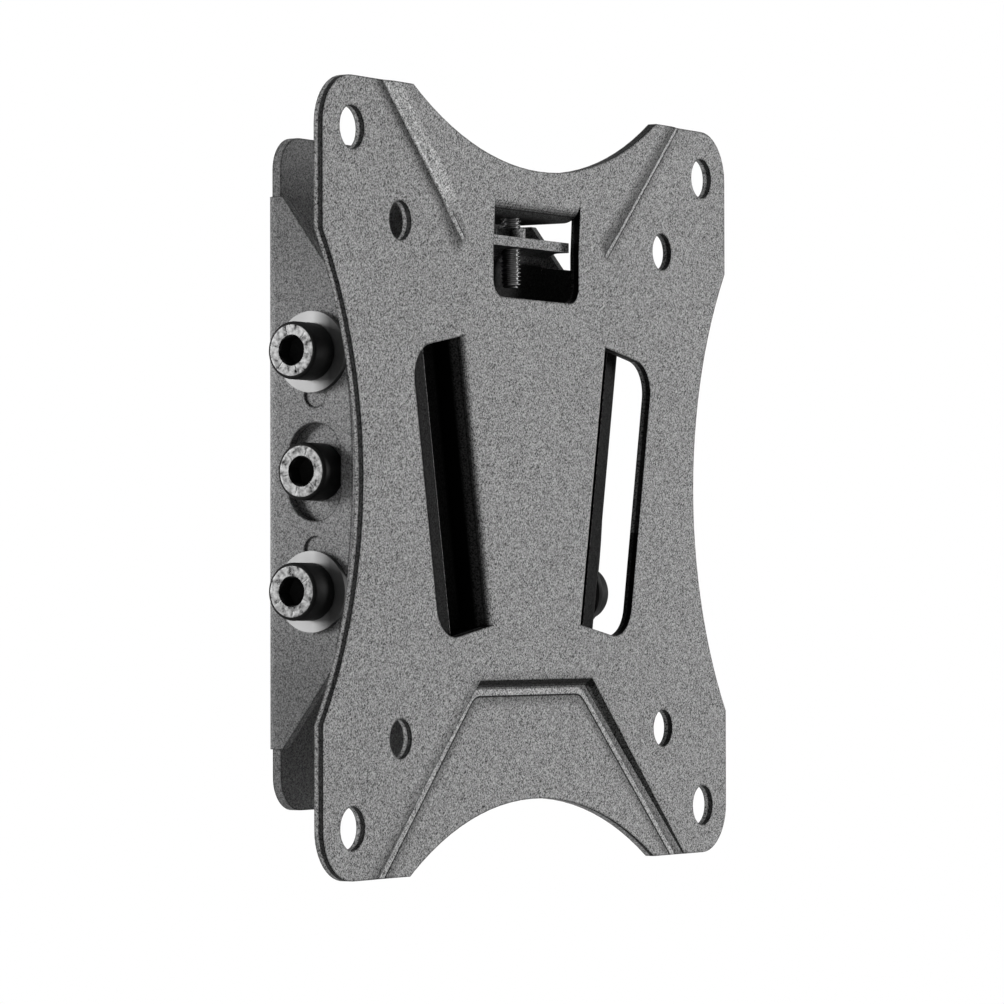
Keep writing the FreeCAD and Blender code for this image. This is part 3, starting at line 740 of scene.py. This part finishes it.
@dataclass(frozen=True)
class Metal:
    """Plated, blackened or bare steel of a turned or stamped piece.

    edge is the radius of its rubbed edges and grain_high the height of its grain, in millimetres. cloud is
    the strength of its cloudy tone, cells the clouds to the metre, edge_light how much paler an edge is,
    and fades paint a dark reflection on the side that faces the dark plate beside it.
    """

    name: str
    colour: Point
    rough: float = 0.3
    metallic: float = 1.0
    gloss: float = 0.5
    cloud: float = 0.2
    cells: float = 260.0
    bump: float = 0.12
    grain_high: float = 0.02
    edge: float = 0.15
    edge_light: float = 1.3
    fades: tuple[Fade, ...] = ()

    def build(self, groups: Groups) -> bpy.types.Material:
        """Make the material.

        Args:
            groups: the shared node groups.

        Returns:
            The new material.
        """
        material, nodes, shader = new_material(self.name)
        place = nodes.add("ShaderNodeTexCoord").outputs["Object"]
        skin = nodes.effect(groups.metal, Vector=place, Colour=(*self.colour, 1.0), Cloud=self.cloud,
                            Cells=self.cells, Rough=self.rough)
        edge_band = nodes.effect(groups.edge_band, Radius=self.edge * MM)
        pale = tuple(min(1.0, part * self.edge_light) for part in self.colour)
        colour = nodes.mix(edge_band["Mask"], skin["Colour"], (*pale, 1.0))
        # Painted reflection: each fade darkens the side that faces the dark plate.
        for fade in self.fades:
            colour = nodes.scale(colour, fade.factor(nodes, place))
        nodes.join(colour, shader.inputs["Base Color"])
        nodes.join(skin["Roughness"], shader.inputs["Roughness"])
        shader.inputs["Metallic"].default_value = self.metallic
        shader.inputs["Specular IOR Level"].default_value = self.gloss
        tilted = nodes.bump(skin["Height"], edge_band["Normal"], self.bump, self.grain_high)
        nodes.join(tilted, shader.inputs["Normal"])
        return material


class Finishes:
    """Every finish of the bracket, built once."""

    def __init__(self) -> None:
        """Build the node groups and the materials."""
        groups = Groups()
        # Painted shade: the channel's coat darkens towards its top and bottom.
        ends = (Fade(Along.HEIGHT, -10.0, -32.0, 0.6), Fade(Along.HEIGHT, 18.0, 36.0, 0.7))
        # Painted reflection: the washers darken on their side towards the front plate, as a mirror of its
        # dark coat.
        painted_plate_reflection = (Fade(Along.DEPTH, -9.3, -12.3, 0.2),)
        # The front gets the painted light and shade of the press lines and the painted shade behind its
        # openings.
        self.front = PowderCoat("Front coat", (0.285, 0.285, 0.285), pressed=True,
                                paints_shade=True).build(groups)
        self.channel = PowderCoat("Channel coat", (0.195, 0.195, 0.196), fleck=1.3, fades=ends).build(groups)
        # Painted shade: the yoke inside the bracket is given a near-black copy of the coat.
        self.inner = PowderCoat("Inner coat painted dark for shade", (0.026, 0.026, 0.027), rough=0.42).build(groups)
        # The rail gets the painted shade behind the plate, with its thin edges lifted out of it as a bright
        # line.
        self.rail = PowderCoat("Rail coat", (0.27, 0.27, 0.271), edge=0.2, edge_light=1.0, edge_shade_lift=0.9,
                               paints_shade=True).build(groups)
        self.screw = Metal("Black screw", (0.006, 0.006, 0.006), rough=0.55, metallic=0.0, gloss=0.06,
                           edge_light=3.0).build(groups)
        self.rim = Metal("Rubbed screw face", (0.09, 0.09, 0.09), rough=0.45, cloud=2.2,
                         cells=1100.0).build(groups)
        self.washer = Metal("Plated washer", (0.25, 0.25, 0.25), rough=0.65, cloud=0.4,
                            fades=painted_plate_reflection).build(groups)
        self.nut = Metal("Plated nut", (0.42, 0.42, 0.41), rough=0.38, cloud=0.3).build(groups)
        self.thread = Metal("Bright thread", (0.16, 0.16, 0.16), rough=0.3, cloud=0.6).build(groups)


def mesh_object(name: str, points: np.ndarray, faces: np.ndarray, materials: list[bpy.types.Material],
                slots: np.ndarray | None = None, smooth: float | None = None) -> bpy.types.Object:
    """Make an object at the origin from whole arrays.

    Args:
        name: the object's name.
        points: N rows of x, y, z in metres.
        faces: M rows of three or four point numbers.
        materials: the object's materials.
        slots: M material numbers, or none for all the first.
        smooth: largest angle between faces that shade smoothly, in degrees, or none for flat.

    Returns:
        The new object, linked to the scene.
    """
    mesh = bpy.data.meshes.new(name)
    mesh.from_pydata(points.tolist(), [], faces.tolist())
    mesh.update()
    thing = bpy.data.objects.new(name, mesh)
    bpy.context.scene.collection.objects.link(thing)
    for material in materials:
        mesh.materials.append(material)
    if slots is not None:
        mesh.polygons.foreach_set("material_index", slots.astype(np.int32))
    if smooth is not None:
        mesh.shade_smooth()
        mesh.set_sharp_from_angle(angle=math.radians(smooth))
    return thing


def ring_faces(rows: int, columns: int) -> np.ndarray:
    """Four-sided faces between rings of points, as rows of point numbers.

    Face (i, j) joins point (i, j), (i, j+1), (i+1, j+1) and (i+1, j), with column numbers taken modulo
    the number of columns.

    Args:
        rows: number of rings.
        columns: number of points in a ring.

    Returns:
        An array of faces.
    """
    i, j = np.meshgrid(np.arange(rows - 1), np.arange(columns), indexing="ij")
    after = (j + 1) % columns
    corners = (i * columns + j, i * columns + after, (i + 1) * columns + after, (i + 1) * columns + j)
    return np.stack([c.ravel() for c in corners], axis=1)


def turn_to(points: np.ndarray, axis: Axis, foot: Point) -> np.ndarray:
    """Stand points that were built along +Z on a foot, pointing along an axis.

    With unit vectors u, v and w, w the axis, a point (x, y, z) goes to foot + x u + y v + z w. u is +Z,
    or +X for an upright axis.

    Args:
        points: N rows in millimetres.
        axis: where +Z goes.
        foot: where the origin goes, in millimetres.

    Returns:
        N rows in metres.
    """
    up = np.array(axis.value)
    side = np.array(Axis.RIGHT.value if axis is Axis.UP else Axis.UP.value)
    basis = np.stack((side, np.cross(up, side), up))
    return (points @ basis + np.array(foot)) * MM


def hexagon_reach(angle: np.ndarray, across: float) -> np.ndarray:
    """Reach of a hexagon from its centre: half its width over cos of the angle from a flat's middle."""
    off = np.mod(angle + math.pi / 6, math.pi / 3) - math.pi / 6
    return across / 2 / np.cos(off)


def close_shell(thing: bpy.types.Object) -> None:
    """Merge doubles, fill the small holes at the poles and turn every face outwards.

    Args:
        thing: the object whose mesh is closed.
    """
    work = bmesh.new()
    work.from_mesh(thing.data)
    bmesh.ops.remove_doubles(work, verts=work.verts, dist=SAME_POINT)
    bmesh.ops.holes_fill(work, edges=work.edges)
    bmesh.ops.recalc_face_normals(work, faces=work.faces)
    work.to_mesh(thing.data)
    work.free()


@dataclass
class TurnedPiece:
    """What every turned piece is given. It grows along the axis from its foot, which is in millimetres."""

    node: str
    body: str
    slot: str
    foot: Point
    axis: Axis

    def surface(self, radius: np.ndarray, height: np.ndarray, angle: np.ndarray,
                materials: list[bpy.types.Material], slots: np.ndarray | None,
                smooth: float) -> bpy.types.Object:
        """Make the piece from rings, let it ride on its body and stand for its plain node.

        Point (i, j) is at radius (i, j) times (cos, sin) of angle j, at height (i, j).

        Args:
            radius: the rings' radii in millimetres, one row per ring.
            height: their heights in millimetres.
            angle: the angles of one ring.
            materials: the piece's materials.
            slots: a material number for each face, or none for all the first.
            smooth: largest angle between faces that shade smoothly, in degrees.

        Returns:
            The piece.
        """
        points = np.stack([radius * np.cos(angle), radius * np.sin(angle), height], axis=2).reshape(-1, 3)
        name = self.node + "_turned"
        thing = mesh_object(name, turn_to(points, self.axis, self.foot), ring_faces(*radius.shape), materials,
                            slots, smooth)
        close_shell(thing)
        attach(thing, self.body)
        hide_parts(self.node)
        LOG.info("%s: %d faces", name, len(thing.data.polygons))
        return thing


@dataclass
class SocketScrew(TurnedPiece):
    """A socket-headed screw with a rolled thread, measured in millimetres.

    The foot is the middle of the head's underside. groove is the thread's depth and blunt the taper of its
    end, as shares of the pitch, crest the share of its wave that is cut flat at top and root, and steps
    its rows to a pitch. On the head, mouth is the socket's round mouth over its width, floor_in its width
    at its floor over its own, and tick_wide the width of a face tick over their spacing.
    """

    head: float = 8.5
    head_high: float = 5.0
    shank: float = 5.0
    length: float = 10.0
    pitch: float = 0.8
    steps: int = 10
    groove: float = 0.55
    crest: float = 0.075
    blunt: float = 0.5
    bevel: float = 0.5
    foot_bend: float = 0.2
    bend_rows: int = 5
    socket: float = 4.0
    socket_deep: float = 2.6
    mouth: float = 1.13
    mouth_deep: float = 0.3
    floor_in: float = 0.96
    floor_bend: float = 0.2
    drill_deep: float = 0.5
    ticks: int = 6
    tick_wide: float = 0.04
    tick_deep: float = 0.07
    turn: float = 0.0
    columns: int = 192
    smooth: float = 32.0

    def thread(self, angle: np.ndarray) -> tuple[np.ndarray, np.ndarray]:
        """Rows of the thread from its blunt end to the head.

        At height z and angle a the radius is the shank's, less a triangle wave of z / pitch less
        a / full turn with its tips cut flat, that fades out within a pitch of either end.

        Args:
            angle: the angles of one row.

        Returns:
            Radii and heights, one row per step.
        """
        rows = int(self.length / self.pitch * self.steps)
        height = np.linspace(-self.length, 0.0, rows)[:, None] * np.ones_like(angle)
        phase = np.mod(height / self.pitch - angle / (2 * math.pi), 1.0)
        wave = 1.0 - np.abs(2.0 * phase - 1.0)
        flattened = np.clip(wave * (1.0 + 2.0 * self.crest) - self.crest, 0.0, 1.0)
        fade = np.clip(-height / self.pitch, 0.0, 1.0)
        lead = np.clip((height + self.length) / self.pitch, 0.0, 1.0)
        deep = flattened * self.groove * self.pitch
        radius = self.shank / 2 - deep * fade - (1.0 - lead) * self.blunt * self.pitch
        return radius, height

    def rim_rows(self, whole: np.ndarray) -> tuple[np.ndarray, np.ndarray]:
        """Rows from the head's underside up its side and over its rim.

        Each of the two bends is a quarter circle, its radius times sine and cosine from its centre.

        Args:
            whole: a row of ones.

        Returns:
            Radii and heights.
        """
        bend = np.linspace(0.0, math.pi / 2, self.bend_rows)[:, None]
        outer = self.head / 2
        low_r = outer - self.foot_bend + self.foot_bend * np.sin(bend)
        low_z = self.foot_bend - self.foot_bend * np.cos(bend)
        high_r = outer - self.bevel + self.bevel * np.cos(bend)
        high_z = self.head_high - self.bevel + self.bevel * np.sin(bend)
        return np.vstack([low_r, high_r]) * whole, np.vstack([low_z, high_z]) * whole

    def face_rows(self, angle: np.ndarray, flat: np.ndarray) -> tuple[np.ndarray, np.ndarray]:
        """Rows of the head's face from its rim to the socket's mouth, with short pressed ticks.

        A row's radius is mixed between the rim's and the mouth's, and its height is the head's, less a
        tick where the angle is near one of its places.

        Args:
            angle: the angles of one row.
            flat: the socket's reach at those angles.

        Returns:
            Radii and heights.
        """
        pressed = np.array([0, 1, 1, 1, 0])[:, None]
        share = np.linspace(0.0, 1.0, len(pressed) + 1)[1:, None]
        mouth = np.maximum(flat, self.socket / 2 * self.mouth)
        radii = (self.head / 2 - self.bevel) * (1 - share) + mouth * share
        phase = np.mod(angle * self.ticks / (2 * math.pi), 1.0)
        tick = (np.abs(phase - 0.5) > (1.0 - self.tick_wide) / 2).astype(float)
        return radii, self.head_high - self.tick_deep * tick * pressed

    def socket_rows(self, flat: np.ndarray) -> tuple[np.ndarray, np.ndarray]:
        """Rows down the six-sided socket's wall and over the drilled cone at its foot.

        Args:
            flat: the socket's reach at the angles of one row.

        Returns:
            Radii and heights.
        """
        floor = self.head_high - self.socket_deep
        levels = np.array([self.head_high - self.mouth_deep, floor + self.floor_bend, floor,
                           floor - self.drill_deep])
        radii = np.stack([flat, flat, flat * self.floor_in, np.full_like(flat, POLE)])
        return radii, levels[:, None] * np.ones_like(flat)

    def build(self, finishes: Finishes, bright_thread: bool = False) -> bpy.types.Object:
        """Make the screw: thread, rim, face and socket, one row of points after another.

        Args:
            finishes: the bracket's materials.
            bright_thread: give the thread a bright finish of its own.

        Returns:
            The screw.
        """
        angle = np.linspace(0.0, 2 * math.pi, self.columns, endpoint=False)
        whole = np.ones_like(angle)
        flat = hexagon_reach(angle, self.socket)
        end = (POLE * whole[None, :], -self.length * whole[None, :])
        parts = [end, self.thread(angle), self.rim_rows(whole), self.face_rows(angle, flat),
                 self.socket_rows(flat)]
        radius, height = (np.vstack(rows) for rows in zip(*parts))
        head_start = len(end[0]) + len(parts[1][0])
        face_start = head_start + len(parts[2][0]) - 1
        face_end = face_start + len(parts[3][0])
        row = np.repeat(np.arange(len(radius) - 1), self.columns)
        slots = ((row >= face_start) & (row < face_end)).astype(int)
        if bright_thread:
            slots[row < head_start - 1] = 2
        materials = [finishes.screw, finishes.rim, finishes.thread]
        return self.surface(radius, height, angle + self.turn, materials, slots, self.smooth)


@dataclass
class HexNut(TurnedPiece):
    """A hexagon nut with turned corners and a bore, measured in millimetres.

    crown is the width of its flat face over its own, and crown_slope the slope of its turned corners in
    degrees.
    """

    across: float = 8.0
    high: float = 4.0
    bore: float = 5.1
    bore_bevel: float = 0.3
    crown: float = 0.95
    crown_slope: float = 30.0
    crown_rows: int = 7
    columns: int = 144
    smooth: float = 25.0

    def build(self, finishes: Finishes) -> bpy.types.Object:
        """Make the nut as rings whose radius is the lesser of a hexagon's and a cone's at that height.

        Args:
            finishes: the bracket's materials.

        Returns:
            The nut.
        """
        angle = np.linspace(0.0, 2 * math.pi, self.columns, endpoint=False)
        whole = np.ones_like(angle)
        slope = math.tan(math.radians(self.crown_slope))
        face = self.across / 2 * self.crown
        low = (self.across / math.sqrt(3) - face) * slope * np.linspace(0.0, 1.0, self.crown_rows)
        levels = np.concatenate([low, self.high - low[::-1]])
        reach = face + np.minimum(levels, self.high - levels) / slope
        outer = np.minimum(hexagon_reach(angle, self.across)[None, :], reach[:, None])
        inner = self.bore / 2 + np.array([self.bore_bevel, 0.0, 0.0, self.bore_bevel])
        inner_levels = np.array([self.high, self.high - self.bore_bevel, self.bore_bevel, 0.0])
        radius = np.vstack([outer, inner[:, None] * whole, outer[:1]])
        height = np.concatenate([levels, inner_levels, [0.0]])[:, None] * whole
        return self.surface(radius, height, angle, [finishes.nut], None, self.smooth)


@dataclass
class Hardware:
    """Screws and nuts of the two flanges and of the locking tab, in millimetres.

    sheet and washer are thicknesses, and lock_y and lock_seat go from the front plate's face and centre. A
    level has its name, its sign and the turn of its screw in radians.
    """

    column_y: float = -8.9
    bolt_z: float = 17.6
    channel_half: float = 35.5
    sheet: float = 1.5
    washer: float = 1.0
    levels: tuple[tuple[str, int, float], ...] = (("top", 1, 0.3), ("bottom", -1, 1.1))
    pivot_turn: float = 0.75
    lock_y: float = PLATE_FRONT_Y + 4.6
    lock_seat: float = PLATE_DROP_Z + 41.95

    def flange_set(self, finishes: Finishes, side: str) -> None:
        """Screws and nuts of one flange.

        Args:
            finishes: the bracket's materials.
            side: left or right.
        """
        sign, axis, back = (-1, Axis.LEFT, Axis.RIGHT) if side == "left" else (1, Axis.RIGHT, Axis.LEFT)
        slider_in = self.channel_half - 2 * self.sheet
        for level, rise, turn in self.levels:
            foot = (sign * (self.channel_half + self.washer), self.column_y, rise * self.bolt_z)
            SocketScrew(f"height_screw_{side}_{level}", "wall", "screw_black", foot, axis,
                        turn=turn).build(finishes)
            seat = (sign * (slider_in - self.washer), self.column_y, rise * self.bolt_z)
            HexNut(f"height_nut_{side}_{level}", "wall", "nut_zinc", seat, back).build(finishes)
        pivot = (sign * (self.channel_half - self.sheet), self.column_y, 0.0)
        SocketScrew(f"pivot_screw_{side}", "tilt_head", "screw_black", pivot, axis,
                    turn=self.pivot_turn).build(finishes)
        seat = (sign * (slider_in - self.washer - self.sheet), self.column_y, 0.0)
        HexNut(f"pivot_nut_{side}", "tilt_head", "nut_zinc", seat, back).build(finishes)

    def locking_screw(self, finishes: Finishes) -> None:
        """The small screw that ties the front plate's tab to the rail plate's tab."""
        SocketScrew("lock_screw", "screen_plate", "screw_black", (0.0, self.lock_y, self.lock_seat), Axis.UP,
                    head=5.5, head_high=3.0, shank=3.0, length=12.0, pitch=0.6, socket=2.5, socket_deep=1.5,
                    bevel=0.25).build(finishes, bright_thread=True)


class Coats:
    """Gives the CAD nodes their finishes, by the words in their names."""

    def dress(self, frame: dict, finishes: Finishes) -> None:
        """Set each node's material.

        Args:
            finishes: the bracket's materials.
        """
        words = {"front_plate": finishes.front, "wall_bracket": finishes.channel, "slider": finishes.channel,
                 "rail_plate": finishes.rail, "yoke": finishes.inner, "washer": finishes.washer,
                 "nut": finishes.nut, "screw": finishes.screw}
        for name, thing in frame["nodes"].items():
            coat = next(finish for word, finish in words.items() if word in name)
            thing.data.materials.clear()
            thing.data.materials.append(coat)
            LOG.info("%s: %s", name, coat.name)


@dataclass
class Studio:
    """Camera at the photograph's angle, pale floor and backdrop, and soft lamps.

    Angles are in degrees, the lens, the sensor and the eye in millimetres, and other places and sizes in
    metres. A lamp has its name, its place, its power in watts and its side.
    """

    yaw: float = 57.84
    pitch: float = 1.31
    roll: float = -0.10
    lens: float = 176.1
    sensor: float = 36.0
    nearest: float = 0.01
    eye: Point = (-630.59, -415.52, -20.95)
    floor_z: float = -0.32
    floor_half: float = 3.0
    floor_grey: float = 0.8
    floor_rough: float = 0.8
    room_grey: float = 0.75
    room_strength: float = 0.02
    lamps: tuple[tuple[str, Point, float, float], ...] = (
        ("front_right", (1.6, -1.5, 0.25), 40.0, 0.7),
        ("back_left", (-1.3, 1.6, 0.25), 50.0, 0.7),
        ("overhead", (0.0, -0.1, 1.8), 8.0, 1.0))

    def axes(self) -> tuple[Vector, Vector, Vector]:
        """Right, up and forward of the camera.

        Returns:
            Three unit vectors.
        """
        yaw, pitch = math.radians(self.yaw), math.radians(self.pitch)
        forward = Vector((math.sin(yaw) * math.cos(pitch), math.cos(yaw) * math.cos(pitch), math.sin(pitch)))
        right = Vector((math.cos(yaw), -math.sin(yaw), 0.0))
        return right, right.cross(forward), forward

    def camera(self) -> None:
        """Place the camera."""
        right, up, forward = self.axes()
        data = bpy.data.cameras.new("view")
        data.lens = self.lens
        data.sensor_width = self.sensor
        data.clip_start = self.nearest
        camera = bpy.data.objects.new("view", data)
        turn = Matrix((right, up, -forward)).transposed().to_4x4()
        roll = Matrix.Rotation(math.radians(self.roll), 4, "Z")
        camera.matrix_world = Matrix.Translation(Vector(self.eye) * MM) @ turn @ roll
        bpy.context.scene.collection.objects.link(camera)
        bpy.context.scene.camera = camera

    def lamp(self, name: str, place: Point, watts: float, size: float) -> None:
        """A square soft lamp that faces the bracket.

        Args:
            name: the lamp's name.
            place: where it stands.
            watts: its power.
            size: its side.
        """
        data = bpy.data.lights.new(name, "AREA")
        data.energy = watts
        data.size = size
        thing = bpy.data.objects.new(name, data)
        thing.location = place
        thing.rotation_euler = (-Vector(place)).to_track_quat("-Z", "Y").to_euler()
        bpy.context.scene.collection.objects.link(thing)

    def white_where_seen(self, nodes: Nodes, lit: Socket, white_kind: str, target: Socket) -> None:
        """Mix in plain white for rays straight from the camera, from gloss or through clear pieces.

        Args:
            nodes: where the nodes go.
            lit: the shader for all other rays.
            white_kind: the type name of the node that gives the white.
            target: the output's socket.
        """
        path = nodes.add("ShaderNodeLightPath")
        either = nodes.plus(path.outputs["Is Camera Ray"], path.outputs["Is Transmission Ray"])
        seen = nodes.maths("ADD", either, path.outputs["Is Glossy Ray"], clamp=True)
        white = nodes.add(white_kind)
        white.inputs["Color"].default_value = WHITE
        mixer = nodes.add("ShaderNodeMixShader")
        nodes.join(seen, mixer.inputs[0])
        nodes.join(lit, mixer.inputs[1])
        nodes.join(white.outputs[0], mixer.inputs[2])
        nodes.join(mixer.outputs[0], target)

    def floor(self) -> None:
        """Lay the pale floor."""
        material, nodes, shader = new_material("Pale floor")
        shader.inputs["Base Color"].default_value = (self.floor_grey, self.floor_grey, self.floor_grey, 1.0)
        shader.inputs["Roughness"].default_value = self.floor_rough
        self.white_where_seen(nodes, shader.outputs[0], "ShaderNodeEmission",
                              nodes.tree.nodes["Material Output"].inputs["Surface"])
        half = self.floor_half
        corners = np.array([(-half, -half, self.floor_z), (half, -half, self.floor_z),
                            (half, half, self.floor_z), (-half, half, self.floor_z)])
        floor = mesh_object("floor", corners, np.array([(0, 1, 2, 3)]), [material])

    def room(self) -> None:
        """Give the room its light and its white backdrop."""
        world = bpy.data.worlds.new("room")
        world.use_nodes = True
        bpy.context.scene.world = world
        nodes = Nodes(world.node_tree)
        ambient = nodes.tree.nodes["Background"]
        ambient.inputs["Color"].default_value = (self.room_grey, self.room_grey, self.room_grey, 1.0)
        ambient.inputs["Strength"].default_value = self.room_strength
        self.white_where_seen(nodes, ambient.outputs[0], "ShaderNodeBackground",
                              nodes.tree.nodes["World Output"].inputs["Surface"])

    def build(self) -> None:
        """Set up the whole studio."""
        bpy.context.scene.view_settings.view_transform = "Standard"
        self.camera()
        self.floor()
        self.room()
        for name, place, watts, size in self.lamps:
            self.lamp(name, place, watts, size)
        LOG.info("studio ready")


def main() -> None:
    """Load the frame, dress it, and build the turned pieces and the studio."""
    logging.basicConfig(level=logging.INFO)
    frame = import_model()
    finishes = Finishes()
    Coats().dress(frame, finishes)
    hardware = Hardware()
    for side in ("left", "right"):
        hardware.flange_set(finishes, side)
    hardware.locking_screw(finishes)
    Studio().build()


if __name__ == "__main__":
    main()
